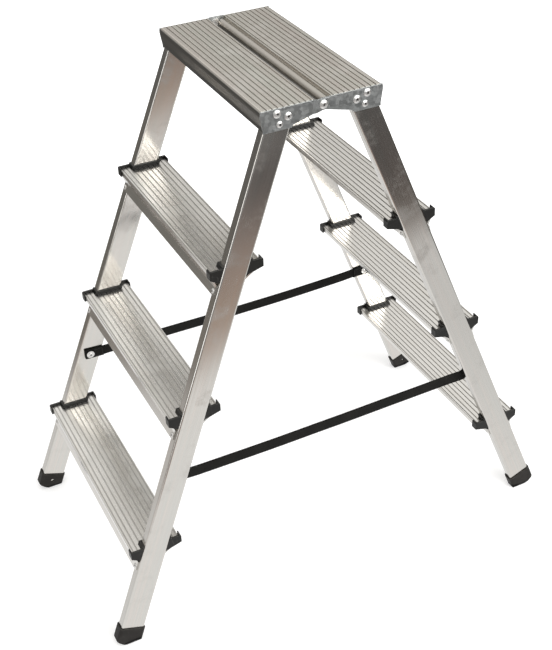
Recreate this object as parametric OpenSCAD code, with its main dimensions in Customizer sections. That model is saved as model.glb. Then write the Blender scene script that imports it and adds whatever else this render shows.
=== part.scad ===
// Folding step ladder that can be climbed from both sides.
// Two frames of stiles and treads are hinged where their half platforms meet.
// x runs from the left frame to the right one, y from the front to the rear, z up.
// The origin is on the floor, in the middle of the four feet.

/* [Stance] */
// Height of the platform above the floor
platform_h = 860; // [800:2:920]
// Height of the lowest tread above the floor
first_tread_h = 182; // [165:1:200]
// Distance from the middle to a stile's centreline, along the floor
foot_x = 396; // [370:1:420]
// Distance from the middle to a stile's centreline, at platform height
top_x = 57.5; // [56:0.5:60]
// Half the width over the stiles at the floor
foot_half_w = 221; // [205:1:235]
// Half the width over the stiles at platform height
top_half_w = 177.5; // [165:0.5:190]

/* [Stiles] */
// Width of the stile tube, the side seen from the front
stile_w = 40; // [38:0.5:42]
// Thickness of the stile tube
stile_t = 17; // [15:0.5:20]
// Wall of the stile tube
stile_wall = 1.6; // [1.2:0.1:2.2]
// Corner radius of the stile tube
stile_corner_r = 3; // [2:0.5:4]

/* [Treads] */
// Depth of a tread from edge to edge
tread_depth = 80; // [76:1:86]
// Thickness of the tread's top
tread_top_t = 3; // [2.5:0.25:4]
// Wall of the tread's skirts and legs
tread_wall = 2; // [1.6:0.1:2.4]
// Height of the tread's upright nose
tread_nose_h = 8; // [6:0.5:9]
// Radius of the tread's top edges
tread_edge_r = 1.5; // [1:0.25:2]
// Depth at which the sloping skirts meet the legs
tread_slope_drop = 26; // [23:0.5:29]
// Height of the legs that grip the stile
tread_leg = 12; // [10:0.5:15]

/* [Grip grooves] */
// Width of a groove
groove_w = 2.2; // [1.8:0.1:2.4]
// Depth of a groove
groove_d = 1.1; // [0.8:0.1:1.5]
// Distance from groove to groove
groove_pitch = 8.5; // [8:0.1:8.8]
// Number of grooves in a tread
tread_groove_count = 8; // [6:1:8]
// Number of grooves in a half platform
platform_groove_count = 9; // [7:1:9]
// Distance from a tread's edge, or the platform's inner edge, to the nearest groove
edge_groove_in = 3.2; // [3:0.1:4]

/* [Tread caps] */
// Wall of a cap
cap_wall = 2.5; // [2:0.25:3]
// Thickness of a cap's end walls
cap_end_t = 3; // [2.5:0.25:4]
// Height of the end walls above the tread
cap_lip = 4; // [3:0.5:5]
// Height of the guard round the stile above the tread
cap_guard = 6.5; // [5.5:0.5:8]
// Depth of the guard below the tread's top
cap_guard_drop = 12; // [10:0.5:14]
// Depth of the end walls at the tread's edge
cap_nose_drop = 10; // [8:0.5:12]
// Depth of the end walls beside the stile
cap_slope_drop = 18; // [16:0.5:20]
// How far a cap stands out past the tread's edge
cap_reach = 2.5; // [2:0.25:3]
// How far a cap wraps back along the tread's edge
cap_wrap = 9; // [7:0.5:12]
// How far the end walls lie behind the stile's outer face
cap_inset = 1; // [0.8:0.1:1.5]

/* [Platform] */
// How far the platform reaches past the stile's outer edge at platform height
platform_over = 17; // [14:0.5:20]
// Thickness of the platform's top
platform_top_t = 4; // [3.5:0.25:5]
// Wall of the platform's skirts and legs
platform_wall = 2; // [1.6:0.1:2.4]
// Height of the platform's upright nose
platform_nose_h = 8; // [7:0.5:9]
// Radius of the platform's outer top edge
platform_edge_r = 5; // [4:0.5:6]
// Depth at which the sloping skirts meet the legs
platform_slope_drop = 26; // [24:0.5:27]
// Height of the legs that grip the stile
platform_leg = 4; // [3:0.5:6]
// Distance from the middle to the step beside the inner bead
bead_step_x = 14; // [13.5:0.25:14.5]
// How far the bead runs into the step
bead_bite = 6.4; // [6.2:0.1:6.8]
// Depth of the bead's centre below the platform
bead_drop = 13; // [12.5:0.25:13.25]
// Radius of the bead
bead_r = 8.4; // [8:0.1:8.5]
// Depth of the bead's flat underside below its centre
bead_under = 6; // [5:0.25:7]
// Depth of the slot in the step, below the platform
slot_drop = 1.2; // [1:0.1:1.6]
// Height of the slot
slot_h = 1.6; // [1:0.1:1.8]
// How far the slot runs in
slot_in = 1.2; // [0.8:0.1:1.3]

/* [Hinge] */
// Depth of the hinge axis below the platform
hinge_drop = 9; // [8.5:0.25:10]
// Thickness of a hinge plate
plate_t = 2; // [1.5:0.25:2.5]
// Depth of the bend near a plate's lower edge
plate_bend_drop = 29; // [28:0.5:30]
// Height of the strip below the bend
plate_strip_h = 4; // [3:0.5:6]
// Depth of a plate's top edge below the platform
plate_top_drop = 0.6; // [0.4:0.1:1]
// How far an outer plate reaches past the hinge axis
eye_reach = 10.5; // [9:0.5:12]
// Distance from the hinge axis to the outer plate's step
joggle_x = 11; // [10:0.5:12]
// Length of the outer plate's step
joggle_run = 3.5; // [2.5:0.25:5]
// Radius of a hinge pin
pin_r = 4; // [3:0.25:4.5]
// Radius of a hinge pin's heads
pin_head_r = 6.5; // [6:0.25:7]
// Height of a hinge pin's outer head
pin_head_h = 2.6; // [2:0.2:3]
// Height of a hinge pin's inner head
pin_foot_h = 1.4; // [1:0.1:1.6]

/* [Rivets] */
// Radius of a plate rivet's head
plate_head_r = 6; // [5.5:0.25:6.5]
// Radius of the head of the lowest plate rivet
low_head_r = 5; // [4.5:0.25:5.5]
// Height of a plate rivet's head
plate_head_h = 2.2; // [1.8:0.2:2.6]
// Radius of a plate rivet's shank
plate_shank_r = 2.4; // [2:0.1:3]
// Half the distance between the upper pair of plate rivets
pair_half = 9; // [8:0.25:10]
// Gap from the platform's top to the blind end of the upper plate rivet
pair_gap = 0.9; // [0.5:0.1:1.5]
// Radius of a tread rivet's head
tread_head_r = 4; // [3.5:0.25:4.25]
// Height of a tread rivet's head
tread_head_h = 1.6; // [1.2:0.2:2]
// Radius of a tread rivet's shank
tread_shank_r = 2; // [1.6:0.1:2.2]
// Gap from a tread rivet's blind end to the round of the stile's corner
tread_rivet_gap = 0.2; // [0.1:0.05:0.5]

/* [Feet] */
// Wall of a foot
foot_wall = 2.4; // [2:0.2:3]
// Height of a foot's rim, along the stile
foot_rim = 33; // [30:1:40]
// Height of the stile's cut end, along the stile
stile_start = 13; // [12:0.5:16]
// Length of the flat sole outside the stile's centreline
sole_reach = 2; // [0:0.5:5]
// Angle of the toe's chamfer above the floor
toe_angle = 45; // [35:1:50]
// Height of the bevel along the sides of the sole
sole_bevel_h = 6; // [3:0.5:8]
// Width of that bevel
sole_bevel_w = 3; // [1.5:0.25:4]
// Radius of the peep hole in a foot
peep_r = 3.5; // [2.5:0.25:4]
// Height of the peep hole, along the stile
peep_up = 19; // [17:0.5:22]

/* [Straps] */
// Height of the straps above the lowest tread
strap_up = 106; // [90:2:120]
// Width of the webbing
strap_w = 20; // [18:0.5:22]
// Thickness of the webbing
strap_t = 1.6; // [1.2:0.1:2]
// Sag of the front strap at its middle
strap_sag_front = 2.5; // [0.5:0.5:6]
// Sag of the rear strap at its middle
strap_sag_rear = 5; // [0.5:0.5:8]
// Length of webbing past each rivet
strap_tail = 10; // [9:0.5:12]
// Length of the doubled end, from the rivet inwards
strap_fold = 24; // [16:1:40]
// Radius of a strap washer
washer_r = 7; // [6:0.25:8]
// Thickness of a strap washer
washer_t = 1.2; // [1:0.1:1.6]
// Radius of a strap rivet's head
strap_head_r = 4.5; // [4:0.25:5]
// Height of a strap rivet's head
strap_head_h = 2; // [1.6:0.2:2.4]
// Radius of a strap rivet's shank
strap_shank_r = 2.2; // [2:0.1:2.6]

/* [Fits] */
// Gap between pieces that rest on one another
seat_gap = 0.1; // [0.05:0.05:0.2]
// Radial clearance of the hinge pins
pin_clear = 0.06; // [0.03:0.01:0.1]
// Gap between the two plates at the hinge
plate_gap = 0.2; // [0.15:0.05:0.3]
// Gap between a strap and the stile's nearest edge
strap_gap = 0.15; // [0.1:0.05:0.25]
// Radial clearance of the webbing round its rivets
strap_hole_clear = 0.4; // [0.3:0.1:0.6]

/* [Hidden] */
$fn = 48;

left = -1;
right = 1;
front = -1;
rear = 1;
both = [-1, 1];
// Rises from the platform down to each tread
top_count = 1;
middle_count = 2;
bottom_count = 3;
level_counts = [top_count, middle_count, bottom_count];

// How far cuts run past what they cut
overrun = 1;
// Share of a rivet head's height that is its straight rim
rim_share = 0.35;
// Share of a rivet head's radius left at its crown
crown_share = 0.55;
// Share of a shank's radius taken by the hollow in its head
hollow_share = 0.75;
// Share of a head's height taken by the hollow
hollow_depth_share = 0.8;
// How much wider a rivet's blind end is than its shank
bulb_share = 1.35;
// Steps along a strap
strap_steps = 24;
// Steps round a corner or a bead
arc_steps = 16;

// Lean of a frame from upright, and flare of a stile within its frame
lean = atan((foot_x - top_x) / platform_h);
flare = atan((foot_half_w - top_half_w) * cos(lean) / platform_h);
// Half a stile's width, the seat gap and the walls, measured level
half_run = stile_w / 2 / cos(lean);
seat_run = seat_gap / cos(lean);
tread_wall_run = tread_wall / cos(lean);
platform_wall_run = platform_wall / cos(lean);
cap_wall_run = cap_wall / cos(lean);
foot_y = foot_half_w - stile_t / 2 / cos(flare);
stile_top = platform_h - platform_top_t - seat_gap;
rise = (platform_h - first_tread_h) / bottom_count;
tread_leg_drop = tread_slope_drop + tread_leg;
platform_x = top_x + half_run + platform_over;
platform_leg_drop = platform_slope_drop + platform_leg;
bead_x = bead_step_x + bead_bite - bead_r;
bead_low = bead_drop + bead_under;
hinge_z = platform_h - hinge_drop;
eye_r = hinge_drop - plate_top_drop;
plate_low_drop = plate_bend_drop + plate_strip_h;
strap_h = first_tread_h + strap_up;
// The upper plate rivets clear the platform's top, and the lowest one clears the bend
pair_drop = platform_top_t + pair_gap + plate_shank_r * bulb_share + pair_half * sin(lean);
low_drop = plate_bend_drop - low_head_r;
// The tread rivets sit halfway down the legs, with their blind ends clear of the tube's corners
tread_rivet_drop = tread_slope_drop + tread_leg / 2;
tread_rivet_in = stile_t / 2 - stile_corner_r - tread_shank_r * bulb_share - tread_rivet_gap;

// How far a stile moves outwards over a drop
function drift(drop) = drop * tan(lean);
// Where a stile's centreline stands at a height
function stile_x(z) = top_x + drift(platform_h - z);
// Where a stile's outer face stands at a place
function face_y(x, z) =
    top_half_w + tan(flare) * ((x - top_x) * sin(lean) + (platform_h - z) * cos(lean));
// Where a stile's inner face stands at a place
function inner_face_y(x, z) = face_y(x, z) - stile_t / cos(flare);
// Distance along a stile to a height, for a line beside its axis
function along(z, beside) = (z - beside * sin(lean)) / (cos(lean) * cos(flare));

function tread_z(level) = platform_h - rise * level;
function tread_outer_y(level) = face_y(stile_x(tread_z(level)), tread_z(level));
function cap_end_y(level) = tread_outer_y(level) - cap_inset;
function tread_end_y(level) = cap_end_y(level) - cap_end_t - seat_gap;
function notch_y(level) = tread_outer_y(level) - stile_t / cos(flare) - cap_wall - seat_gap;

// Places of a plate's rivets, as x and z
pair_mid = [stile_x(platform_h - pair_drop), platform_h - pair_drop];
pair_step = pair_half * [cos(lean), sin(lean)];
low_place = [stile_x(platform_h - low_drop), platform_h - low_drop];
upper_places = [pair_mid + pair_step, pair_mid - pair_step];

// Faces of the plates: inner plates lie against the stiles, outer plates step over them
plate_y = face_y(stile_x(platform_h - plate_bend_drop) + half_run, platform_h - plate_bend_drop) + seat_gap;
plate_step = plate_t + plate_gap;
outer_plate_y = plate_y + plate_step;
platform_end_y = plate_y - seat_gap;

// The straps lie against the stiles' inner faces
strap_x = stile_x(strap_h);
strap_y = inner_face_y(strap_x - half_run, strap_h) - strap_gap;
strap_tilt = atan(tan(flare) * cos(lean));
strap_stand = inner_face_y(strap_x, strap_h) - strap_y;
washer_in = stile_t / 2 + strap_stand + 2 * strap_t + strap_gap;

aluminium = "silver";
galvanised = "slategray";
bright = "gainsboro";
plastic = "dimgray";
webbing = "black";

// Puts the right rear quarter on a side and at an end
module corner(side, end) {
    mirror([side == left ? 1 : 0, 0, 0]) mirror([0, end == front ? 1 : 0, 0]) children();
}

// Stands children on a stile's axis, with z along the stile
module stile_frame() {
    translate([foot_x, foot_y, 0]) rotate([flare, -lean, 0]) children();
}

// Pulls an outline, drawn in x and z, along y
module along_y(low, high) {
    translate([0, high, 0]) rotate([90, 0, 0]) linear_extrude(high - low) children();
}

// Turns children so that their z points along y
module facing_y() {
    rotate([-90, 0, 0]) children();
}

module rounded_rect(w, h, r) {
    square([w - 2 * r, h], center = true);
    square([w, h - 2 * r], center = true);
    for (sx = both, sy = both) translate([sx * (w / 2 - r), sy * (h / 2 - r)]) circle(r);
}

// A rivet's head and shank, with the head above z = 0 and the shank below it
module rivet(head_r, head_h, shank_r, length, hollow_r) {
    difference() {
        union() {
            cylinder(h = head_h * rim_share, r = head_r);
            translate([0, 0, head_h * rim_share])
                cylinder(h = head_h * (1 - rim_share), r1 = head_r, r2 = head_r * crown_share);
            translate([0, 0, -length]) cylinder(h = length + head_h * rim_share, r = shank_r);
        }
        translate([0, 0, head_h * (1 - hollow_depth_share)]) cylinder(h = head_h, r = hollow_r);
    }
}

// A blind rivet spreads behind what it grips
module blind_rivet(head_r, head_h, shank_r, grip) {
    rivet(head_r, head_h, shank_r, grip + shank_r, shank_r * hollow_share);
    translate([0, 0, -grip - shank_r]) cylinder(h = shank_r, r = shank_r * bulb_share);
}

module rivet_hole(shank_r, depth) {
    translate([0, 0, -depth]) cylinder(h = depth + overrun, r = shank_r + seat_gap);
}

// Seats of the two rivets that hold one tread to one stile
module at_tread_rivets(level) {
    for (way = both)
        stile_frame() translate([
            way * tread_seat, -tread_rivet_in, along(tread_z(level) - tread_rivet_drop, way * tread_seat)
        ]) rotate([0, way * 90, 0]) children();
}

// Seats of the plate rivets, on a plate's outer face
module at_plate_rivets(places) {
    for (place = places) translate([place[0], plate_seat, place[1]]) facing_y() children();
}

module at_strap_rivet() {
    stile_frame() translate([0, -washer_in - washer_t, along(strap_h, 0)]) rotate([90, 0, 0]) children();
}

module at_hinge(y) {
    translate([0, y, hinge_z]) facing_y() children();
}

// What each rivet grips, from under its head to clear of the inside of the stile's wall
tread_seat = stile_w / 2 + tread_wall + 2 * seat_gap;
tread_grip = tread_wall + stile_wall + 3 * seat_gap;
strap_grip = washer_in + washer_t - stile_t / 2 + stile_wall + seat_gap;
plate_seat = plate_y + plate_t + seat_gap;
plate_bulb_r = plate_shank_r * bulb_share;

function plate_grip(place) =
    plate_seat - face_y(place[0], place[1]) + stile_wall / cos(flare) + plate_bulb_r * tan(flare) + seat_gap;

module stile(side, end) {
    color(aluminium) corner(side, end) difference() {
        stile_frame() translate([0, 0, stile_start])
            linear_extrude(along(platform_h, -stile_w / 2) - stile_start) difference() {
                rounded_rect(stile_w, stile_t, stile_corner_r);
                rounded_rect(stile_w - 2 * stile_wall, stile_t - 2 * stile_wall, stile_corner_r - stile_wall);
            }
        translate([0, 0, stile_top]) cube([foot_x, foot_half_w, platform_h]);
        for (level = level_counts) at_tread_rivets(level) rivet_hole(tread_shank_r, tread_grip + overrun);
        for (place = concat(upper_places, [low_place]))
            at_plate_rivets([place]) rivet_hole(plate_shank_r, plate_grip(place) + overrun);
        at_strap_rivet() rivet_hole(strap_shank_r, strap_grip + overrun);
    }
}

// Points round a corner or a bead, from one bearing to another
function arc(x, y, r, from, to) = [
    for (i = [0 : arc_steps]) let (turn = from + (to - from) * i / arc_steps) [x + r * cos(turn), y + r * sin(turn)]
];

// Lines beside a stile, in a tread's own frame: distance out at a depth
function outside(drop) = half_run + drift(drop);
function inside(drop) = drift(drop) - half_run;

module groove(place) {
    translate([place - groove_w / 2, -groove_d]) square([groove_w, groove_d + overrun]);
}

module grooves(first, count) {
    for (i = [0 : count - 1]) groove(first + i * groove_pitch);
}

// Section of a tread, with x outwards from the stile's centreline and y up from the top
module tread_section() {
    half = tread_depth / 2;
    r = tread_edge_r;
    leg = seat_run + tread_wall_run;
    under = tread_slope_drop - tread_wall;
    difference() {
        polygon(concat(arc(r - half, -r, r, 180, 90), arc(half - r, -r, r, 90, 0), [
            [half, -tread_nose_h],
            [outside(tread_slope_drop) + leg, -tread_slope_drop],
            [outside(tread_leg_drop) + leg, -tread_leg_drop],
            [inside(tread_leg_drop) - leg, -tread_leg_drop],
            [inside(tread_slope_drop) - leg, -tread_slope_drop],
            [-half, -tread_nose_h]
        ]));
        polygon([
            [tread_wall - half, -tread_top_t], [half - tread_wall, -tread_top_t],
            [half - tread_wall, -tread_nose_h],
            [outside(under) + seat_run, -under],
            [outside(tread_leg_drop + overrun) + seat_run, -tread_leg_drop - overrun],
            [inside(tread_leg_drop + overrun) - seat_run, -tread_leg_drop - overrun],
            [inside(under) - seat_run, -under],
            [tread_wall - half, tread_wall / 2 - tread_nose_h]
        ]);
        grooves(-groove_pitch * (tread_groove_count - 1) / 2, tread_groove_count);
        for (way = both) groove(way * (half - edge_groove_in));
    }
}

// A band beside and across the stile, from a height above the tread to a depth below it
module stile_band(margin, height, drop) {
    polygon([
        [inside(-height) - margin, height], [outside(-height) + margin, height],
        [outside(drop) + margin, -drop], [inside(drop) - margin, -drop]
    ]);
}

module on_tread(level) {
    translate([stile_x(tread_z(level)), 0, tread_z(level)]) children();
}

module tread(side, level) {
    end_y = tread_end_y(level);
    color(aluminium) corner(side, rear) difference() {
        on_tread(level) along_y(-end_y, end_y) tread_section();
        for (end = both) corner(right, end) {
            on_tread(level) along_y(notch_y(level), end_y + overrun)
                stile_band(cap_wall_run + 2 * seat_run, overrun, cap_guard_drop + seat_gap);
            at_tread_rivets(level) rivet_hole(tread_shank_r, tread_wall + overrun);
        }
    }
}

// The upper corner of a cap's end wall, as round as its lip is thick
function cap_corner(way) =
    let (r = cap_reach - seat_gap)
    [for (spot = arc(tread_depth / 2 + seat_gap, cap_lip - r, r, 90, 0)) [way * spot[0], spot[1]]];

// End wall of a cap on one way from the stile, and the lip that wraps the tread's nose
module cap_ear(way) {
    tip = way * (tread_depth / 2 + cap_reach);
    near = way > 0 ? outside(cap_slope_drop) : inside(cap_slope_drop);
    polygon(concat(
        [[0, cap_lip]], cap_corner(way), [[tip, -cap_nose_drop], [near, -cap_slope_drop], [0, -cap_slope_drop]]
    ));
}

module cap_wrap_band(way) {
    low = tread_depth / 2 + seat_gap;
    high = tread_depth / 2 + cap_reach;
    polygon(concat(cap_corner(way), [[way * high, -cap_nose_drop], [way * low, -cap_nose_drop]]));
}

module tread_cap(side, level, end) {
    start = notch_y(level) + seat_gap;
    stop = cap_end_y(level);
    wall_start = stop - cap_end_t;
    middle_along = along(tread_z(level), 0);
    color(plastic) corner(side, end) difference() {
        on_tread(level) {
            along_y(start, stop) stile_band(cap_wall_run + seat_run, cap_guard, cap_guard_drop);
            along_y(wall_start, stop) for (way = both) cap_ear(way);
            along_y(wall_start - cap_wrap, stop) for (way = both) cap_wrap_band(way);
        }
        stile_frame() translate([0, 0, middle_along - tread_depth]) linear_extrude(2 * tread_depth)
            translate([-stile_w / 2 - seat_gap, -stile_t / 2 - seat_gap])
                square([stile_w + 2 * seat_gap, 2 * stile_t]);
    }
}

// Line round the bead along the platform's inner edge, drawn in all round, from its underside up to a place
function bead_line(inset, stop_x) =
    let (r = bead_r - inset)
    arc(bead_x, -bead_drop, r, 180 + asin((bead_under - inset) / r), acos((stop_x - bead_x) / r));

// Section of the right half platform, with x from the hinge axis and y up from the top
module platform_section() {
    r = platform_edge_r;
    leg = seat_run + platform_wall_run;
    slope = platform_slope_drop;
    under = slope - platform_wall;
    low = platform_leg_drop;
    inner_x = bead_step_x + platform_wall;
    difference() {
        polygon(concat([[bead_step_x, 0]], arc(platform_x - r, -r, r, 90, 0), [
            [platform_x, -platform_nose_h],
            [top_x + outside(slope) + leg, -slope], [top_x + outside(low) + leg, -low],
            [top_x + inside(low) - leg, -low], [top_x + inside(slope) - leg, -slope],
            [bead_step_x, -bead_low]
        ], bead_line(0, bead_step_x)));
        polygon(concat([
            [inner_x, -platform_top_t], [platform_x - r, -platform_top_t],
            [platform_x - platform_wall, -r], [platform_x - platform_wall, -platform_nose_h],
            [top_x + outside(under) + seat_run, -under],
            [top_x + outside(low + overrun) + seat_run, -low - overrun],
            [top_x + inside(low + overrun) - seat_run, -low - overrun],
            [top_x + inside(under) - seat_run, -under],
            [inner_x, platform_wall - bead_low]
        ], bead_line(platform_wall, inner_x)));
        translate([0, -slot_drop - slot_h]) square([bead_step_x + slot_in, slot_h]);
        grooves(bead_step_x + edge_groove_in, platform_groove_count);
    }
}

module platform(side) {
    color(aluminium) corner(side, rear) difference() {
        translate([0, 0, platform_h]) along_y(-platform_end_y, platform_end_y) platform_section();
        for (end = both) corner(right, end) at_hinge(platform_end_y - pin_foot_h - overrun)
            cylinder(h = pin_foot_h + 2 * overrun, r = pin_head_r + overrun);
    }
}

// Outline of a plate above its bend, without the hinge end
module plate_outline() {
    bend = plate_bend_drop;
    leg = seat_run + platform_wall_run;
    polygon([
        [0, -plate_top_drop], [platform_x - plate_top_drop, -plate_top_drop],
        [platform_x, -platform_edge_r], [platform_x, -platform_nose_h],
        [top_x + outside(bend) + leg, -bend], [top_x + inside(bend) - leg, -bend],
        [0, -hinge_drop - eye_r]
    ]);
}

// The strip below the bend, which lies along the flared stile
module plate_strip() {
    bend = plate_bend_drop;
    low = plate_low_drop;
    leg = seat_run + platform_wall_run;
    x_low = top_x + inside(bend) - leg;
    x_high = top_x + outside(bend) + leg;
    translate([0, plate_y, platform_h - bend]) rotate([flare, 0, 0]) along_y(0, plate_t)
        polygon([[x_low, plate_gap], [x_high, plate_gap], [x_high, bend - low], [x_low + low - bend, bend - low]]);
}

// An outer plate runs flat, then steps out over the inner plate
module outer_plate_path() {
    far = plate_y + plate_t;
    polygon([
        [platform_x + overrun, plate_y], [platform_x + overrun, far],
        [joggle_x + joggle_run, far], [joggle_x, far + plate_step], [-eye_reach - overrun, far + plate_step],
        [-eye_reach - overrun, outer_plate_y], [joggle_x, outer_plate_y], [joggle_x + joggle_run, plate_y]
    ]);
}

module plate(side, end) {
    is_outer = side * end > 0;
    color(galvanised) corner(side, end) difference() {
        union() {
            if (is_outer) intersection() {
                translate([0, 0, platform_h]) along_y(plate_y - overrun, outer_plate_y + 2 * plate_t) {
                    plate_outline();
                    translate([-eye_reach, -hinge_drop - eye_r])
                        square([eye_reach, hinge_drop + eye_r - plate_top_drop]);
                }
                linear_extrude(2 * platform_h) outer_plate_path();
            }
            else translate([0, 0, platform_h]) along_y(plate_y, plate_y + plate_t) {
                plate_outline();
                translate([0, -hinge_drop]) circle(eye_r);
            }
            plate_strip();
        }
        at_hinge(plate_y - overrun) cylinder(h = 2 * plate_step + 2 * overrun, r = pin_r + pin_clear);
        at_plate_rivets(concat(upper_places, [low_place])) rivet_hole(plate_shank_r, plate_t + overrun);
    }
}

module hinge_pin(end) {
    top_y = outer_plate_y + plate_t + seat_gap;
    foot_top_y = plate_y - seat_gap;
    color(bright) corner(right, end) {
        at_hinge(top_y)
            rivet(pin_head_r, pin_head_h, pin_r, top_y - foot_top_y + pin_foot_h, plate_shank_r * hollow_share);
        at_hinge(foot_top_y - pin_foot_h) cylinder(h = pin_foot_h, r = pin_head_r);
    }
}

module plate_rivets(side) {
    color(bright) for (end = both) corner(side, end) {
        for (place = upper_places) at_plate_rivets([place])
            blind_rivet(plate_head_r, plate_head_h, plate_shank_r, plate_grip(place));
        at_plate_rivets([low_place])
            blind_rivet(low_head_r, plate_head_h, plate_shank_r, plate_grip(low_place));
    }
}

module tread_rivets(side) {
    color(bright) for (end = both, level = level_counts) corner(side, end) at_tread_rivets(level)
        blind_rivet(tread_head_r, tread_head_h, tread_shank_r, tread_grip);
}

module foot(side, end) {
    half_w = stile_w / 2 + foot_wall;
    half_t = (stile_t / 2 + foot_wall) / cos(flare);
    low = -half_w * tan(lean) - overrun;
    color(plastic) corner(side, end) difference() {
        stile_frame() translate([0, 0, low]) linear_extrude(foot_rim - low)
            rounded_rect(2 * half_w, stile_t + 2 * foot_wall, stile_corner_r + foot_wall);
        stile_frame() translate([0, 0, stile_start - seat_gap]) linear_extrude(foot_rim)
            rounded_rect(stile_w + 2 * seat_gap, stile_t + 2 * seat_gap, stile_corner_r + seat_gap);
        stile_frame() translate([0, 0, peep_up]) rotate([90, 0, 0])
            cylinder(h = stile_t, r = peep_r);
        translate([0, 0, -foot_rim]) cube([2 * foot_x, 2 * foot_half_w, foot_rim]);
        for (way = both) translate([0, foot_y, 0]) rotate([90, 0, 90]) linear_extrude(2 * foot_x) polygon([
            [way * (half_t - sole_bevel_w), 0], [way * (half_t + sole_bevel_w), 2 * sole_bevel_h],
            [way * (half_t + sole_bevel_w), -overrun], [way * (half_t - sole_bevel_w), -overrun]
        ]);
        translate([foot_x + sole_reach, 0, 0]) rotate([0, -toe_angle, 0]) translate([0, 0, -foot_rim])
            cube([2 * stile_w, 2 * foot_half_w, foot_rim]);
    }
}

function strap_dip(x, sag) = sag * (pow(x / strap_x, 2) - 1);

// The strap hangs in a shallow curve between its rivets
module strap_outline(sag, low, high) {
    steps = [for (i = [0 : strap_steps]) low + (high - low) * i / strap_steps];
    polygon(concat(
        [for (x = steps) [x, strap_dip(x, sag) + strap_w / 2]],
        [for (i = [strap_steps : -1 : 0]) [steps[i], strap_dip(steps[i], sag) - strap_w / 2]]
    ));
}

module strap(end, sag) {
    reach = strap_x + strap_tail;
    color(webbing) corner(right, end) difference() {
        translate([0, strap_y, strap_h]) rotate([strap_tilt, 0, 0]) {
            along_y(-strap_t, 0) strap_outline(sag, -reach, reach);
            for (way = both) along_y(-2 * strap_t, -strap_t)
                strap_outline(sag, way > 0 ? strap_x - strap_fold : -reach, way > 0 ? reach : strap_fold - strap_x);
        }
        for (side = [left, right]) corner(side, rear) at_strap_rivet()
            rivet_hole(strap_shank_r + strap_hole_clear, strap_grip);
    }
}

module strap_washers(side) {
    color(bright) for (end = both) corner(side, end) at_strap_rivet() difference() {
        translate([0, 0, -washer_t]) cylinder(h = washer_t, r = washer_r);
        rivet_hole(strap_shank_r, washer_t + overrun);
    }
}

module strap_rivets(side) {
    color(bright) for (end = both) corner(side, end) at_strap_rivet()
        blind_rivet(strap_head_r, strap_head_h, strap_shank_r, strap_grip);
}

stile(left, front);  // left_stile_front
stile(left, rear);  // left_stile_rear
stile(right, front);  // right_stile_front
stile(right, rear);  // right_stile_rear
tread(left, top_count);  // left_tread_top
tread(left, middle_count);  // left_tread_middle
tread(left, bottom_count);  // left_tread_bottom
tread(right, top_count);  // right_tread_top
tread(right, middle_count);  // right_tread_middle
tread(right, bottom_count);  // right_tread_bottom
tread_cap(left, top_count, front);  // left_cap_top_front
tread_cap(left, top_count, rear);  // left_cap_top_rear
tread_cap(left, middle_count, front);  // left_cap_middle_front
tread_cap(left, middle_count, rear);  // left_cap_middle_rear
tread_cap(left, bottom_count, front);  // left_cap_bottom_front
tread_cap(left, bottom_count, rear);  // left_cap_bottom_rear
tread_cap(right, top_count, front);  // right_cap_top_front
tread_cap(right, top_count, rear);  // right_cap_top_rear
tread_cap(right, middle_count, front);  // right_cap_middle_front
tread_cap(right, middle_count, rear);  // right_cap_middle_rear
tread_cap(right, bottom_count, front);  // right_cap_bottom_front
tread_cap(right, bottom_count, rear);  // right_cap_bottom_rear
platform(left);  // left_platform
platform(right);  // right_platform
plate(left, front);  // left_plate_front
plate(left, rear);  // left_plate_rear
plate(right, front);  // right_plate_front
plate(right, rear);  // right_plate_rear
hinge_pin(front);  // hinge_pin_front
hinge_pin(rear);  // hinge_pin_rear
plate_rivets(left);  // left_plate_rivets
plate_rivets(right);  // right_plate_rivets
tread_rivets(left);  // left_tread_rivets
tread_rivets(right);  // right_tread_rivets
foot(left, front);  // left_foot_front
foot(left, rear);  // left_foot_rear
foot(right, front);  // right_foot_front
foot(right, rear);  // right_foot_rear
strap(front, strap_sag_front);  // strap_front
strap(rear, strap_sag_rear);  // strap_rear
strap_washers(left);  // left_strap_washers
strap_washers(right);  // right_strap_washers
strap_rivets(left);  // left_strap_rivets
strap_rivets(right);  // right_strap_rivets
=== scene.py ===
"""Looks of a folding step ladder that can be climbed from both sides. Lengths are in metres."""
from math import atan, copysign, cos, pi, radians, sin, tan

import bmesh
import bpy
from mathutils import Euler, Matrix, Vector


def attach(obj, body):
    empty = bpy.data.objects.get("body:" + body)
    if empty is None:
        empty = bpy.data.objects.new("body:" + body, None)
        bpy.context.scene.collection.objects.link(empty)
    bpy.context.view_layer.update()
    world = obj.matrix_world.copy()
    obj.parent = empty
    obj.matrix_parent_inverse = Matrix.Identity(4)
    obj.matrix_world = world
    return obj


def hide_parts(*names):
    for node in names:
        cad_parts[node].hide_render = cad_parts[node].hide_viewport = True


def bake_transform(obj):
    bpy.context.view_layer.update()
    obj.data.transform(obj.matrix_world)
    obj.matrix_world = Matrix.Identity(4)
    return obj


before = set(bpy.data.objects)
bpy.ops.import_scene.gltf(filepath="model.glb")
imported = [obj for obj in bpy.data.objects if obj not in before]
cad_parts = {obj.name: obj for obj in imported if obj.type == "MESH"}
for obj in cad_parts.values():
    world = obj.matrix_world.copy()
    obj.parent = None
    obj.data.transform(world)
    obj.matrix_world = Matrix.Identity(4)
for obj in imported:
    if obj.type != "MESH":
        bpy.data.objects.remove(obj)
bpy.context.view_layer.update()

# Which way each side lies along x and each end along y, and the rises from the platform down to each tread
SIDES = {"left": -1, "right": 1}
ENDS = {"front": -1, "rear": 1}
LEVELS = {"top": 1, "middle": 2, "bottom": 3}

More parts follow.
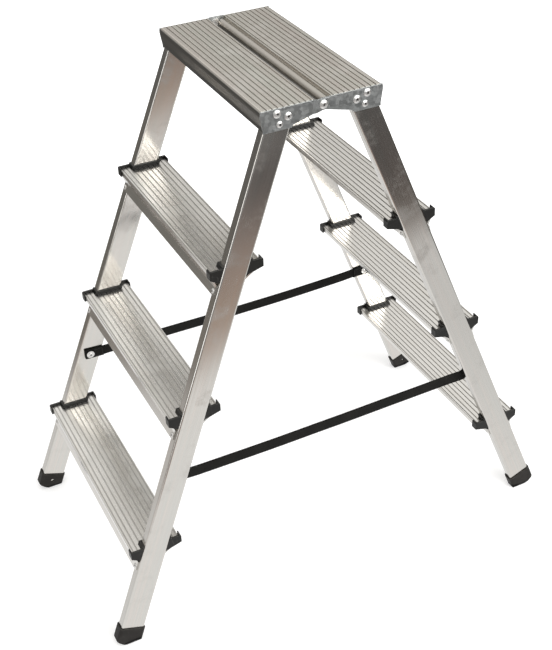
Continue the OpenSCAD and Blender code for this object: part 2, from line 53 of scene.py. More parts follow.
# Camera fitted to the photograph, with the picture's size, focal length and centre in pixels
picture_w, picture_h = 552, 650
photo_focal = 1165.49
photo_centre_x, photo_centre_y = 292.69, 312.41
photo_place = (-0.6964, -1.4876, 1.5239)
photo_yaw, photo_pitch, photo_roll = radians(26.09), radians(-34.56), radians(-1.93)
sensor_h = 24

# Stance and tube, as in the part's source
platform_h = 0.860
first_tread_h = 0.182
rise = (platform_h - first_tread_h) / LEVELS["bottom"]
foot_x, top_x = 0.396, 0.0575
foot_half_w, top_half_w = 0.221, 0.1775
stile_w, stile_t, stile_corner = 0.040, 0.017, 0.003
lean = atan((foot_x - top_x) / platform_h)
flare = atan((foot_half_w - top_half_w) * cos(lean) / platform_h)
half_run = stile_w / 2 / cos(lean)
foot_y = foot_half_w - stile_t / 2 / cos(flare)
seat_gap = 0.0001

# Treads and platform
tread_depth = 0.080
groove_depth = 0.0011
platform_over = 0.017
platform_x = top_x + half_run + platform_over
platform_inner_x = 0.014
platform_top_t = 0.004

# Rivets, with the hollow in a rivet's head as shares of the shank and the head
hollow_share = 0.75
hollow_floor_share = 0.2
plate_t, plate_bend_drop = 0.002, 0.029
plate_gap = 0.0002
plate_head_h, plate_shank_r, low_head_r = 0.0022, 0.0024, 0.005
pair_half, pair_gap = 0.009, 0.0009
pin_head_h, hinge_z = 0.0026, 0.851
tread_head_h, tread_shank_r, tread_wall = 0.0016, 0.002, 0.002
tread_rivet_drop, tread_rivet_gap = 0.032, 0.0002
bulb_share = 1.35

# Broken pin ends in the rivets, as shares of the hollow
core_width_share, core_waist_share, core_height_share = 0.95, 0.8, 0.5
core_lift = 0.00003

# Straps and their stitches
strap_h = 0.288
strap_w, strap_t = 0.020, 0.0016
strap_sags = {"front": 0.0025, "rear": 0.005}
strap_tail, strap_fold, strap_gap = 0.010, 0.024, 0.00015
webbing_inset = 0.00005
rib_count, thread_count = 13.0, 11.0
tail_steps, bend_steps, run_steps = 8, 7, 120
strap_stray_y, stray_end_run, stray_middle_run = 0.001, 0.026, 0.12
strap_shank_r, strap_head_h, strap_hole_r = 0.0022, 0.002, 0.0026
punch_depth = 0.02
washer_t = 0.0012
stitch_end_in, stitch_rivet_in, stitch_half_w = 0.0022, 0.0088, 0.0072
stitch_pitch, stitch_length, thread_r, thread_lift = 0.0026, 0.0019, 0.00028, 0.00002

# Studio
floor_r, floor_drop = 9.0, 0.0002
dome_strength = 1.25


def stile_x(z):
    return top_x + (platform_h - z) * tan(lean)


def face_y(x, z):
    return top_half_w + tan(flare) * ((x - top_x) * sin(lean) + (platform_h - z) * cos(lean))


def inner_face_y(x, z):
    return face_y(x, z) - stile_t / cos(flare)


# How far along its own axis a stile reaches a height, at a distance beside that axis
def along_stile(z, beside):
    return (z - beside * sin(lean)) / (cos(lean) * cos(flare))


# Puts a place or direction of the right rear quarter on a side and at an end
def quarter(side, end, place):
    return Vector((SIDES[side] * place[0], ENDS[end] * place[1], place[2]))


stile_turn = Euler((flare, -lean, 0)).to_matrix()
stile_inward = stile_turn @ Vector((0, -1, 0))
strap_x = stile_x(strap_h)
strap_y = inner_face_y(strap_x - half_run, strap_h) - strap_gap
strap_tilt = atan(tan(flare) * cos(lean))
fold_x = strap_x - strap_fold
washer_in = stile_t / 2 + inner_face_y(strap_x, strap_h) - strap_y + 2 * strap_t + strap_gap


# From the right rear stile's own axes to the frame
def on_stile(x, y, z):
    return Vector((foot_x, foot_y, 0)) + stile_turn @ Vector((x, y, z))


# Camera at the photograph's viewing angle
def make_camera():
    yaw, pitch, roll = photo_yaw, photo_pitch, photo_roll
    ahead = Vector((sin(yaw) * cos(pitch), cos(yaw) * cos(pitch), sin(pitch)))
    level = Vector((cos(yaw), -sin(yaw), 0))
    upward = level.cross(ahead)
    across = cos(roll) * level + sin(roll) * upward
    upward = cos(roll) * upward - sin(roll) * level
    lens = bpy.data.cameras.new("photo_camera")
    lens.sensor_fit = "VERTICAL"
    lens.sensor_height = sensor_h
    lens.lens = photo_focal / picture_h * sensor_h
    lens.shift_x = (picture_w / 2 - photo_centre_x) / picture_h
    lens.shift_y = (photo_centre_y - picture_h / 2) / picture_h
    camera = bpy.data.objects.new("photo_camera", lens)
    turn = Matrix((across, upward, -ahead)).transposed()
    camera.matrix_world = Matrix.Translation(photo_place) @ turn.to_4x4()
    bpy.context.scene.collection.objects.link(camera)
    bpy.context.scene.camera = camera


# Wires the nodes of one material, group or world
class Wiring:
    def __init__(self, tree):
        self.tree = tree

    def put(self, socket, value):
        if isinstance(value, bpy.types.NodeSocket):
            self.tree.links.new(value, socket)
        elif socket.type == "RGBA":
            socket.default_value = (*value, 1)
        else:
            socket.default_value = value

    # A node, with values for its first sockets in order and inputs by socket name
    def node(self, kind, settings=None, values=(), **inputs):
        made = self.tree.nodes.new(kind)
        for name, value in (settings or {}).items():
            setattr(made, name, value)
        for socket, value in zip(made.inputs, values):
            self.put(socket, value)
        for name, value in inputs.items():
            self.put(made.inputs[name.replace("_", " ")], value)
        return made

    def math(self, operation, a, b=0.0):
        return self.node("ShaderNodeMath", {"operation": operation}, (a, b)).outputs[0]

    def times(self, a, b):
        return self.math("MULTIPLY", a, b)

    def plus(self, a, b):
        return self.math("ADD", a, b)

    def minus(self, a, b):
        return self.math("SUBTRACT", a, b)

    # A base with shares of masks added to it
    def build_up(self, base, *shares):
        for mask, share in shares:
            base = self.plus(base, self.times(mask, share))
        return base

    def remap(self, value, low, high, to_low=0.0, to_high=1.0, smooth=False):
        kind = "SMOOTHSTEP" if smooth else "LINEAR"
        limits = (value, low, high, to_low, to_high)
        return self.node("ShaderNodeMapRange", {"interpolation_type": kind}, limits).outputs[0]

    # The colour sockets of a Mix node go by number, because several share a name
    def mix(self, share, a, b):
        made = self.node("ShaderNodeMix", {"data_type": "RGBA"})
        self.put(made.inputs[0], share)
        self.put(made.inputs[6], a)
        self.put(made.inputs[7], b)
        return made.outputs[2]

    # A tint with shares of other tones laid over it, each where its mask says
    def stain(self, tint, *layers):
        for mask, share, tone in layers:
            tint = self.mix(self.times(mask, share), tint, tone)
        return tint

    def ramp(self, value, stops):
        made = self.node("ShaderNodeValToRGB", Fac=value)
        tones = made.color_ramp.elements
        for i, (at, tone) in enumerate(stops):
            stop = tones[i] if i < 2 else tones.new(at)
            stop.position = at
            stop.color = (*tone, 1)
        return made.outputs[0]

    def noise(self, place, scale, detail=3.0, roughness=0.55):
        made = self.node("ShaderNodeTexNoise", Vector=place, Scale=scale, Detail=detail,
                         Roughness=roughness)
        return made.outputs[0]

    def group(self, tree, **inputs):
        return self.node("ShaderNodeGroup", {"node_tree": tree}, **inputs).outputs

    def object_place(self):
        return self.node("ShaderNodeTexCoord").outputs["Object"]

    # Object coordinates, seen from axes of their own
    def place(self, location=(0, 0, 0), turn=(0, 0, 0)):
        coords = self.object_place()
        turned = self.node("ShaderNodeMapping", {"vector_type": "TEXTURE"}, Vector=coords,
                           Location=location, Rotation=turn)
        return turned.outputs[0]

    def parts(self, vector):
        return self.node("ShaderNodeSeparateXYZ", Vector=vector).outputs


VALUE, VECTOR = "NodeSocketFloat", "NodeSocketVector"
GEOMETRY, MATERIAL = "NodeSocketGeometry", "NodeSocketMaterial"


# A node group with named sockets: its wiring, what it is given and its result
def new_tree(kind, name, inputs, outputs):
    tree = bpy.data.node_groups.new(name, kind)
    for way, sockets in (("INPUT", inputs), ("OUTPUT", outputs)):
        for socket, socket_kind in sockets.items():
            tree.interface.new_socket(socket, in_out=way, socket_type=socket_kind)
    wires = Wiring(tree)
    return wires, wires.node("NodeGroupInput").outputs, wires.node("NodeGroupOutput").inputs


# A shader group for an effect that is worked from a place and named values
def new_effect(name, values, outputs):
    inputs = {"Place": VECTOR, **dict.fromkeys(values, VALUE)}
    return new_tree("ShaderNodeTree", name, inputs, outputs)


# A Geometry Nodes tree with named values and a material
def new_maker(name, values):
    inputs = {"Geometry": GEOMETRY, **dict.fromkeys(values, VALUE), "Material": MATERIAL}
    return new_tree("GeometryNodeTree", name, inputs, {"Geometry": GEOMETRY})


# Fine lines left by drawing or extruding, along the place's z
def make_lengthwise_grain():
    wires, given, result = new_effect("lengthwise_grain", ("Across", "Along"), {"Grain": VALUE})
    scale = wires.node("ShaderNodeCombineXYZ", X=given["Across"], Y=given["Across"], Z=given["Along"])
    spread = wires.node("ShaderNodeVectorMath", {"operation": "MULTIPLY"},
                        (given["Place"], scale.outputs[0]))
    lines = wires.noise(spread.outputs[0], scale=1.0, detail=4.0, roughness=0.62)
    wires.put(result["Grain"], wires.remap(lines, 0.3, 0.7))
    return wires.tree


# Soft patches where hands and shoes have rubbed
def make_hand_marks():
    wires, given, result = new_effect("hand_marks", ("Fineness", "Cover"), {"Mask": VALUE})
    patches = wires.noise(given["Place"], given["Fineness"], detail=5.0, roughness=0.62)
    low = wires.minus(0.66, wires.times(given["Cover"], 0.3))
    high = wires.plus(low, 0.2)
    wires.put(result["Mask"], wires.remap(patches, low, high, smooth=True))
    return wires.tree


# Hair-thin scratches, in patches
def make_fine_scratches():
    wires, given, result = new_effect("fine_scratches", ("Fineness", "Width"), {"Mask": VALUE})
    masks = []
    for turn, stretch in (((0.5, 0.9, 0.2), (1, 1, 0.06)), ((-0.4, 0.3, 1.1), (1, 0.05, 1))):
        turned = wires.node("ShaderNodeMapping", Vector=given["Place"], Rotation=turn, Scale=stretch)
        field = wires.noise(turned.outputs[0], given["Fineness"], detail=1.0, roughness=0.4)
        off = wires.math("ABSOLUTE", wires.minus(field, 0.5))
        masks.append(wires.remap(off, 0.0, given["Width"], 1.0, 0.0))
    both = wires.math("MAXIMUM", *masks)
    patches = wires.remap(wires.noise(given["Place"], scale=24.0, detail=2.0), 0.5, 0.62)
    wires.put(result["Mask"], wires.times(both, patches))
    return wires.tree


# Rounded edges, and a broken mask of where they have rubbed
def make_worn_edges():
    outputs = {"Mask": VALUE, "Normal": VECTOR}
    wires, given, result = new_effect("worn_edges", ("Radius", "Fineness"), outputs)
    soft = wires.node("ShaderNodeBevel", {"samples": 6}, Radius=given["Radius"]).outputs[0]
    flat = wires.node("ShaderNodeNewGeometry").outputs["Normal"]
    match = wires.node("ShaderNodeVectorMath", {"operation": "DOT_PRODUCT"}, (soft, flat))
    edge = wires.remap(match.outputs["Value"], 0.995, 0.9)
    broken = wires.remap(wires.noise(given["Place"], given["Fineness"]), 0.38, 0.6, 0.25, 1.0)
    wires.put(result["Mask"], wires.times(edge, broken))
    wires.put(result["Normal"], soft)
    return wires.tree


# Dust that settles on what faces up
def make_settled_dust():
    wires, given, result = new_effect("settled_dust", ("Fineness",), {"Mask": VALUE})
    up = wires.parts(wires.node("ShaderNodeNewGeometry").outputs["Normal"])["Z"]
    facing = wires.remap(up, 0.3, 0.9, smooth=True)
    specks = wires.noise(given["Place"], given["Fineness"], detail=6.0, roughness=0.7)
    wires.put(result["Mask"], wires.times(facing, wires.remap(specks, 0.4, 0.72)))
    return wires.tree


lengthwise_grain = make_lengthwise_grain()
hand_marks = make_hand_marks()
fine_scratches = make_fine_scratches()
worn_edges = make_worn_edges()
settled_dust = make_settled_dust()


# Wiring of a material or world, cleared of the nodes it starts with
def clear_wires(owner):
    owner.use_nodes = True
    owner.node_tree.nodes.clear()
    return Wiring(owner.node_tree)


# A material with one shader, whose constants go by socket name
def new_material(name, **constants):
    material = bpy.data.materials.new(name)
    wires = clear_wires(material)
    skin = wires.node("ShaderNodeBsdfPrincipled", **constants)
    wires.node("ShaderNodeOutputMaterial", Surface=skin.outputs[0])
    return material, wires, skin.inputs


# Height into the shader's normal, over an edge-rounded normal where there is one
def emboss(wires, skin, height, depth, strength, normal=None):
    bump = wires.node("ShaderNodeBump", Height=height, Distance=depth, Strength=strength)
    if normal is not None:
        wires.put(bump.inputs["Normal"], normal)
    wires.put(skin["Normal"], bump.outputs[0])


# Drawn, lightly polished tube, with its lines along the stile and painted shade on its narrow faces
def make_stile_metal(side, end):
    material, wires, skin = new_material(f"stile_metal_{side}_{end}", Metallic=1.0)
    x, y = SIDES[side], ENDS[end]
    place = wires.place((x * foot_x, y * foot_y, 0), (y * flare, -x * lean, 0))
    fine = wires.group(lengthwise_grain, Place=place, Across=900.0, Along=5.0)["Grain"]
    bands = wires.group(lengthwise_grain, Place=place, Across=110.0, Along=2.2)["Grain"]
    marks = wires.group(hand_marks, Place=place, Fineness=26.0, Cover=0.55)["Mask"]
    scratches = wires.group(fine_scratches, Place=place, Fineness=170.0, Width=0.003)["Mask"]
    off = wires.math("ABSOLUTE", wires.parts(place)["X"])
    # Painted shade: the tube's narrow faces are tinted darker
    narrow_painted_shade = wires.remap(off, stile_w / 2 - 0.0004, stile_w / 2 - 0.0001)
    tint = wires.stain(
        wires.mix(bands, (0.70, 0.655, 0.61), (0.655, 0.65, 0.615)),
        (fine, 0.35, (0.58, 0.56, 0.535)),
        (marks, 0.3, (0.55, 0.53, 0.50)),
        (scratches, 0.18, (0.80, 0.79, 0.77)),
        (narrow_painted_shade, 0.22, (0.16, 0.155, 0.145)))
    wires.put(skin["Base Color"], tint)
    rough = wires.build_up(0.10, (fine, 0.08), (marks, 0.11), (scratches, 0.15))
    wires.put(skin["Roughness"], rough)
    height = wires.build_up(wires.times(fine, 0.6), (scratches, -0.2), (bands, 0.9))
    emboss(wires, skin, height, depth=0.00004, strength=0.2)
    return material


# Extruded profile with die lines along y, dirt and painted shade in its grooves, and painted shade laid on
# last where it is given
def make_grooved_metal(name, top, middle, half, tones, skirt_rough, paint_shade=None):
    material, wires, skin = new_material("tread_metal_" + name, Metallic=1.0)
    place = wires.place(turn=(pi / 2, 0, 0))
    fine = wires.group(lengthwise_grain, Place=place, Across=1500.0, Along=3.0)["Grain"]
    bands = wires.group(lengthwise_grain, Place=place, Across=60.0, Along=3.0)["Grain"]
    scuffs = wires.group(hand_marks, Place=place, Fineness=18.0, Cover=0.6)["Mask"]
    scratches = wires.group(fine_scratches, Place=place, Fineness=70.0, Width=0.005)["Mask"]
    edges = wires.group(worn_edges, Place=place, Radius=0.0001, Fineness=60.0)
    axes = wires.parts(wires.object_place())
    depth = wires.minus(top, axes["Z"])
    across = wires.math("ABSOLUTE", axes["X"])
    deep = wires.remap(depth, 0.0001, groove_depth * 0.8, smooth=True)
    not_below = wires.remap(depth, groove_depth + 0.0003, groove_depth + 0.0005, 1.0, 0.0)
    off = wires.math("ABSOLUTE", wires.minus(across, middle))
    on_top = wires.remap(off, half - 0.0022, half - 0.0018, 1.0, 0.0)
    on_walls = wires.remap(depth, groove_depth - 0.0001, groove_depth - 0.00004, 1.0, 0.5)
    # Dirt in the grooves, darkened also as painted shade
    groove_dirt_and_shade = wires.times(wires.times(wires.times(deep, not_below), on_top), on_walls)
    tint = wires.stain(
        wires.mix(bands, *tones),
        (fine, 0.3, (0.58, 0.563, 0.535)),
        (scuffs, 0.28, (0.80, 0.785, 0.755)),
        (scratches, 0.5, (0.76, 0.745, 0.715)),
        (edges["Mask"], 0.25, (0.78, 0.77, 0.75)),
        (groove_dirt_and_shade, 0.62, (0.12, 0.11, 0.095)))
    skirt = wires.remap(depth, 0.002, 0.007, smooth=True)
    rough = wires.remap(skirt, 0.0, 1.0, 0.24, skirt_rough)
    rough = wires.build_up(rough, (fine, 0.08), (scuffs, 0.08), (groove_dirt_and_shade, 0.3))
    wires.put(skin["Roughness"], rough)
    height = wires.build_up(fine, (scratches, -0.25))
    emboss(wires, skin, height, depth=0.00004, strength=0.15, normal=edges["Normal"])
    if paint_shade is not None:
        tint = paint_shade(wires, tint, across, depth)
    wires.put(skin["Base Color"], tint)
    return material


def make_tread_metal(name, level):
    top = platform_h - rise * level
    tones = ((0.715, 0.692, 0.65), (0.775, 0.765, 0.74))
    return make_grooved_metal(name, top, stile_x(top), tread_depth / 2, tones, skirt_rough=0.1)


# Painted shade on the platform's outer skirt, and painted shade in the gap between its halves
def platform_painted_shade(wires, tint, across, depth):
    sloped = wires.plus(across, wires.times(depth, 0.7))
    outer = wires.remap(sloped, platform_x - 0.012, platform_x - 0.010)
    skirt = wires.times(outer, wires.remap(depth, 0.0003, 0.0028, smooth=True))
    inner = wires.remap(across, platform_inner_x - 0.0002, platform_inner_x, 1.0, 0.0)
    gap = wires.times(inner, wires.remap(depth, 0.0005, 0.0012))
    # Painted shade in the gap, darker deeper down
    gap_painted_shade = wires.times(gap, wires.remap(depth, 0.008, 0.015, 0.25, 0.75, smooth=True))
    # Painted shade darkens the outer skirt
    tint = wires.stain(tint, (skirt, 0.88, (0.175, 0.175, 0.171)))
    return wires.mix(gap_painted_shade, tint, (0.05, 0.047, 0.04))


# The platform is duller than the treads
def make_platform_metal():
    half = (platform_x - platform_inner_x) / 2
    tones = ((0.645, 0.59, 0.54), (0.655, 0.65, 0.585))
    return make_grooved_metal("platform", platform_h, platform_inner_x + half, half, tones,
                              skirt_rough=0.3, paint_shade=platform_painted_shade)


# Galvanised sheet, with the faint flakes that zinc leaves
def make_plate_metal():
    material, wires, skin = new_material("plate_metal", Metallic=1.0)
    place = wires.place()
    flakes = wires.node("ShaderNodeTexVoronoi", Vector=place, Scale=190.0)
    tone = wires.parts(flakes.outputs["Color"])["X"]
    cloud = wires.noise(place, scale=55.0, detail=4.0)
    lengthwise = wires.place(turn=(0, pi / 2, 0))
    rub = wires.group(lengthwise_grain, Place=lengthwise, Across=700.0, Along=25.0)["Grain"]
    scratches = wires.group(fine_scratches, Place=place, Fineness=110.0, Width=0.008)["Mask"]
    edges = wires.group(worn_edges, Place=place, Radius=0.0006, Fineness=90.0)
    tint = wires.mix(tone, (0.32, 0.34, 0.345), (0.42, 0.435, 0.435))
    tint = wires.stain(
        wires.mix(wires.remap(cloud, 0.35, 0.65, 0.0, 0.35), tint, (0.295, 0.31, 0.30)),
        (rub, 0.3, (0.47, 0.48, 0.47)),
        (scratches, 0.6, (0.66, 0.66, 0.65)),
        (edges["Mask"], 0.5, (0.66, 0.67, 0.66)))
    wires.put(skin["Base Color"], tint)
    wires.put(skin["Roughness"], wires.build_up(0.3, (tone, 0.14), (rub, 0.08)))
    height = wires.build_up(wires.times(tone, 0.5), (rub, 0.5))
    emboss(wires, skin, height, depth=0.00003, strength=0.3, normal=edges["Normal"])
    return material


# Bright soft metal, dimpled by the tool that set it
def make_rivet_metal():
    material, wires, skin = new_material("rivet_metal", Metallic=1.0)
    place = wires.place()
    dimples = wires.noise(place, scale=1400.0)
    cloud = wires.noise(place, scale=260.0)
    edges = wires.group(worn_edges, Place=place, Radius=0.0004, Fineness=200.0)
    tint = wires.mix(wires.remap(cloud, 0.3, 0.7), (0.72, 0.71, 0.69), (0.84, 0.835, 0.82))
    tint = wires.stain(tint, (edges["Mask"], 0.4, (0.90, 0.895, 0.88)))
    wires.put(skin["Base Color"], tint)
    wires.put(skin["Roughness"], wires.remap(dimples, 0.3, 0.7, 0.3, 0.46))
    emboss(wires, skin, dimples, depth=0.00003, strength=0.3, normal=edges["Normal"])
    return material


# Dark broken end of the pin inside a blind rivet
def make_core_steel():
    material, wires, skin = new_material("core_steel", Metallic=0.7)
    pits = wires.noise(wires.place(), scale=2600.0, detail=4.0)
    wires.put(skin["Base Color"], wires.mix(pits, (0.018, 0.017, 0.016), (0.06, 0.055, 0.05)))
    wires.put(skin["Roughness"], wires.remap(pits, 0.3, 0.7, 0.45, 0.75))
    emboss(wires, skin, pits, depth=0.0001, strength=0.5)
    return material


# Moulded plastic with a fine grain, rubbed and partly lightened as a painted highlight at its edges, dusty
# on top, with painted shade up to the sole's top
def make_black_plastic(name, dust_share, sole_top, least_rough, specular, tones):
    material, wires, skin = new_material("black_plastic_" + name, Specular_IOR_Level=specular)
    place = wires.place()
    grain = wires.noise(place, scale=2200.0, detail=4.0, roughness=0.6)
    cloud = wires.noise(place, scale=40.0)
    edges = wires.group(worn_edges, Place=place, Radius=0.0009, Fineness=120.0)
    dust = wires.group(settled_dust, Place=place, Fineness=420.0)["Mask"]
    scratches = wires.group(fine_scratches, Place=place, Fineness=120.0, Width=0.01)["Mask"]
    height = wires.parts(wires.object_place())["Z"]
    ragged = wires.plus(height, wires.remap(cloud, 0.3, 0.7, -0.0015, 0.0015))
    # Painted shade up to the sole's top
    shaded_sole = wires.remap(ragged, sole_top, sole_top + 0.002, 1.0, 0.0, smooth=True)
    # Edges rubbed lighter, also a painted highlight along the rims
    tint = wires.stain(
        wires.mix(wires.remap(cloud, 0.3, 0.7), *tones),
        (edges["Mask"], 0.6, (0.11, 0.106, 0.10)),
        (scratches, 0.35, (0.11, 0.105, 0.10)),
        (dust, dust_share, (0.19, 0.18, 0.165)),
        (shaded_sole, 0.8, (0.0015, 0.0015, 0.0015)))
    wires.put(skin["Base Color"], tint)
    rough = wires.remap(grain, 0.3, 0.7, least_rough, least_rough + 0.14)
    wires.put(skin["Roughness"], wires.build_up(rough, (shaded_sole, 0.25)))
    emboss(wires, skin, grain, depth=0.00006, strength=0.35, normal=edges["Normal"])
    return material


# Woven webbing: ribs along the strap, each crossed by threads that alternate from rib to rib
def make_webbing():
    material, wires, skin = new_material("webbing", Sheen_Weight=0.008, Sheen_Roughness=0.5,
                                         Specular_IOR_Level=0.16)
    weave = wires.parts(wires.node("ShaderNodeUVMap", {"uv_map": "weave"}).outputs[0])
    ribs = wires.times(weave["X"], rib_count)
    odd = wires.math("MODULO", wires.math("FLOOR", ribs), 2.0)
    threads = wires.build_up(wires.times(weave["Y"], thread_count), (odd, 0.5))
    rib = wires.math("SINE", wires.times(wires.math("FRACT", ribs), pi))
    thread = wires.math("SINE", wires.times(wires.math("FRACT", threads), pi))
    height = wires.times(wires.math("POWER", rib, 0.6), wires.math("POWER", thread, 0.5))
    place = wires.place()
    fuzz = wires.noise(place, scale=3200.0, detail=4.0, roughness=0.7)
    fade = wires.noise(place, scale=30.0)
    tint = wires.mix(height, (0.002, 0.002, 0.0018), (0.0075, 0.0072, 0.006))
    tint = wires.mix(wires.remap(fade, 0.45, 0.7, 0.0, 0.3), tint, (0.016, 0.0155, 0.013))
    tint = wires.mix(wires.remap(fuzz, 0.55, 0.75, 0.0, 0.25), tint, (0.026, 0.025, 0.023))
    wires.put(skin["Base Color"], tint)
    wires.put(skin["Roughness"], wires.remap(height, 0.0, 1.0, 0.85, 0.6))
    emboss(wires, skin, wires.build_up(height, (fuzz, 0.2)), depth=0.0003, strength=0.8)
    return material


def make_thread():
    material, wires, skin = new_material("stitch_thread")
    strands = wires.noise(wires.place(), scale=4200.0, detail=2.0)
    wires.put(skin["Base Color"], wires.mix(strands, (0.02, 0.019, 0.018), (0.055, 0.053, 0.05)))
    wires.put(skin["Roughness"], wires.remap(strands, 0.3, 0.7, 0.5, 0.7))
    emboss(wires, skin, strands, depth=0.0001, strength=0.6)
    return material


# Shows a CAD node in a finish
def dress(node, material):
    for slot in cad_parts[node].material_slots:
        slot.material = material


def dress_nodes():
    plate_metal = make_plate_metal()
    rivet_metal = make_rivet_metal()
    cap_plastic = make_black_plastic("caps", dust_share=0.3, sole_top=0.0, least_rough=0.3, specular=0.28,
                                     tones=((0.006, 0.006, 0.0055), (0.010, 0.010, 0.009)))
    foot_plastic = make_black_plastic("feet", dust_share=0.2, sole_top=0.007, least_rough=0.42, specular=0.1,
                                      tones=((0.019, 0.0174, 0.016), (0.029, 0.0268, 0.025)))
    treads = {name: make_tread_metal(name, level) for name, level in LEVELS.items()}
    platform_metal = make_platform_metal()
    for side in SIDES:
        dress(side + "_platform", platform_metal)
        for level, metal in treads.items():
            dress(f"{side}_tread_{level}", metal)
        for part in ("plate_rivets", "tread_rivets", "strap_rivets", "strap_washers"):
            dress(f"{side}_{part}", rivet_metal)
        for end in ENDS:
            dress(f"{side}_stile_{end}", make_stile_metal(side, end))
            dress(f"{side}_plate_{end}", plate_metal)
            dress(f"{side}_foot_{end}", foot_plastic)
            for level in LEVELS:
                dress(f"{side}_cap_{level}_{end}", cap_plastic)
    for end in ENDS:
        dress("hinge_pin_" + end, rivet_metal)


def link_mesh(name, mesh):
    piece = bpy.data.objects.new(name, mesh)
    bpy.context.scene.collection.objects.link(piece)
    return piece


# An object from a mesh in the making, which is freed
def link_bmesh(name, mesh, material=None):
    data = bpy.data.meshes.new(name)
    mesh.to_mesh(data)
    mesh.free()
    if material is not None:
        data.materials.append(material)
    return link_mesh(name, data)


# The evaluated object as a plain mesh of its own, and the object it came from removed
def settle(name, piece):
    bpy.context.view_layer.update()
    seen = piece.evaluated_get(bpy.context.evaluated_depsgraph_get())
    mesh = bpy.data.meshes.new_from_object(seen)
    bpy.data.objects.remove(piece)
    mesh.name = name
    return link_mesh(name, mesh)


# From a strap's own axes, x along it, y away from the middle and z up, to the frame
def from_strap(end, place):
    x, y, z = place
    outward = strap_y + y * cos(strap_tilt) - z * sin(strap_tilt)
    upward = strap_h + y * sin(strap_tilt) + z * cos(strap_tilt)
    return quarter("right", end, (x, outward, upward))


# How far the webbing sags
def strap_dip(end, x):
    return strap_sags[end] * ((x / strap_x) ** 2 - 1)


# How far the webbing strays sideways, so that it lies beside itself where it crosses when folded
def strap_stray(x):
    ends = min(max((fold_x - abs(x)) / stray_end_run, 0.0), 1.0)
    middle = min(abs(x) / stray_middle_run, 1.0)
    share = ends * ends * (3 - 2 * ends) * middle * middle * (3 - 2 * middle)
    return copysign(strap_stray_y * share, -x)


# Middle line of the webbing from one turned-in end to the other, as x, y and the way its face points
def strap_line():
    bend_r = strap_t / 2
    bend_x = strap_x + strap_tail - 2 * bend_r
    turned_in, run = [], []
    for i in range(tail_steps + 1):
        turned_in.append((-fold_x + (fold_x - bend_x) * i / tail_steps, -3 * bend_r, (0, -1)))
    for i in range(1, bend_steps):
        turn = pi * i / bend_steps
        way = (-sin(turn), -cos(turn))
        turned_in.append((-bend_x + bend_r * way[0], -2 * bend_r + bend_r * way[1], way))
    for i in range(run_steps + 1):
        x = -bend_x + 2 * bend_x * i / run_steps
        run.append((x, strap_stray(x) - bend_r, (0, 1)))
    return turned_in + run + [(-x, y, (-way[0], way[1])) for x, y, way in reversed(turned_in)]


# Outline of the webbing's cut end: across its width, and through its thickness
def webbing_section():
    half, thick = strap_w / 2, strap_t / 2 - webbing_inset
    upper = [(half * share, thick) for share in (-0.94, -0.6, -0.2, 0.2, 0.6, 0.94)]
    edge = [(half * 0.985, thick * 0.6), (half, 0), (half * 0.985, -thick * 0.6)]
    lower = [(across, -deep) for across, deep in reversed(upper)]
    return upper + edge + lower + [(-across, deep) for across, deep in reversed(edge)]


# A strap before its rivet holes are punched, and the length it was cut to
def make_strap_blank(end, webbing):
    section = webbing_section()
    count = len(section)
    mesh = bmesh.new()
    weave = mesh.loops.layers.uv.new("weave")
    rings, runs = [], []
    run, before = 0.0, None
    for x, y, way in strap_line():
        if before is not None:
            run += ((x - before[0]) ** 2 + (y - before[1]) ** 2) ** 0.5
        before = (x, y)
        dip = strap_dip(end, x)
        places = [(x + way[0] * deep, y + way[1] * deep, dip + across) for across, deep in section]
        rings.append([mesh.verts.new(from_strap(end, place)) for place in places])
        runs.append(run)
    for k in range(len(rings) - 1):
        for i in range(count):
            j = (i + 1) % count
            corners = ((k, i), (k, j), (k + 1, j), (k + 1, i))
            face = mesh.faces.new([rings[ring][spot] for ring, spot in corners])
            face.smooth = True
            for loop, (ring, spot) in zip(face.loops, corners):
                loop[weave].uv = (section[spot][0] / strap_w + 0.5, runs[ring] / strap_w)
    mesh.faces.new(rings[0])
    mesh.faces.new(list(reversed(rings[-1])))
    bmesh.ops.recalc_face_normals(mesh, faces=mesh.faces)
    return link_bmesh("strap_blank", mesh, webbing), runs[-1]


# A round punch through both layers of webbing at a rivet
def make_punch(side, end):
    mesh = bmesh.new()
    bmesh.ops.create_cone(mesh, cap_ends=True, segments=24, radius1=strap_hole_r, radius2=strap_hole_r,
                          depth=punch_depth)
    axis = quarter(side, end, stile_inward)
    centre = quarter(side, end, on_stile(0, -washer_in, along_stile(strap_h, 0)))
    mesh.transform(Matrix.Translation(centre) @ axis.to_track_quat("Z", "Y").to_matrix().to_4x4())
    return link_bmesh("punch", mesh)


def make_strap(end, webbing):
    blank, cut_length = make_strap_blank(end, webbing)
    punches = [make_punch(side, end) for side in SIDES]
    for punch in punches:
        cut = blank.modifiers.new("punched_hole", "BOOLEAN")
        cut.operation = "DIFFERENCE"
        cut.solver = "EXACT"
        cut.object = punch
    strap = settle("webbing_strap_" + end, blank)
    for punch in punches:
        bpy.data.objects.remove(punch)
    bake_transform(strap)
    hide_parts("strap_" + end)
    return strap, cut_length


# Ends a tree: instances become a plain mesh in the given material
def close_tree(wires, instances, given, result):
    real = wires.node("GeometryNodeRealizeInstances", Geometry=instances).outputs[0]
    dressed = wires.node("GeometryNodeSetMaterial", Geometry=real, Material=given["Material"])
    wires.put(result["Geometry"], dressed.outputs[0])


# What a tree makes from an object's mesh. The modifier's inputs are set by socket identifier
def grow(name, seats, tree, values):
    modifier = seats.modifiers.new(tree.name, "NODES")
    modifier.node_group = tree
    for item in tree.interface.items_tree:
        if item.in_out == "INPUT" and item.name in values:
            modifier[item.identifier] = values[item.name]
    return settle(name, seats)


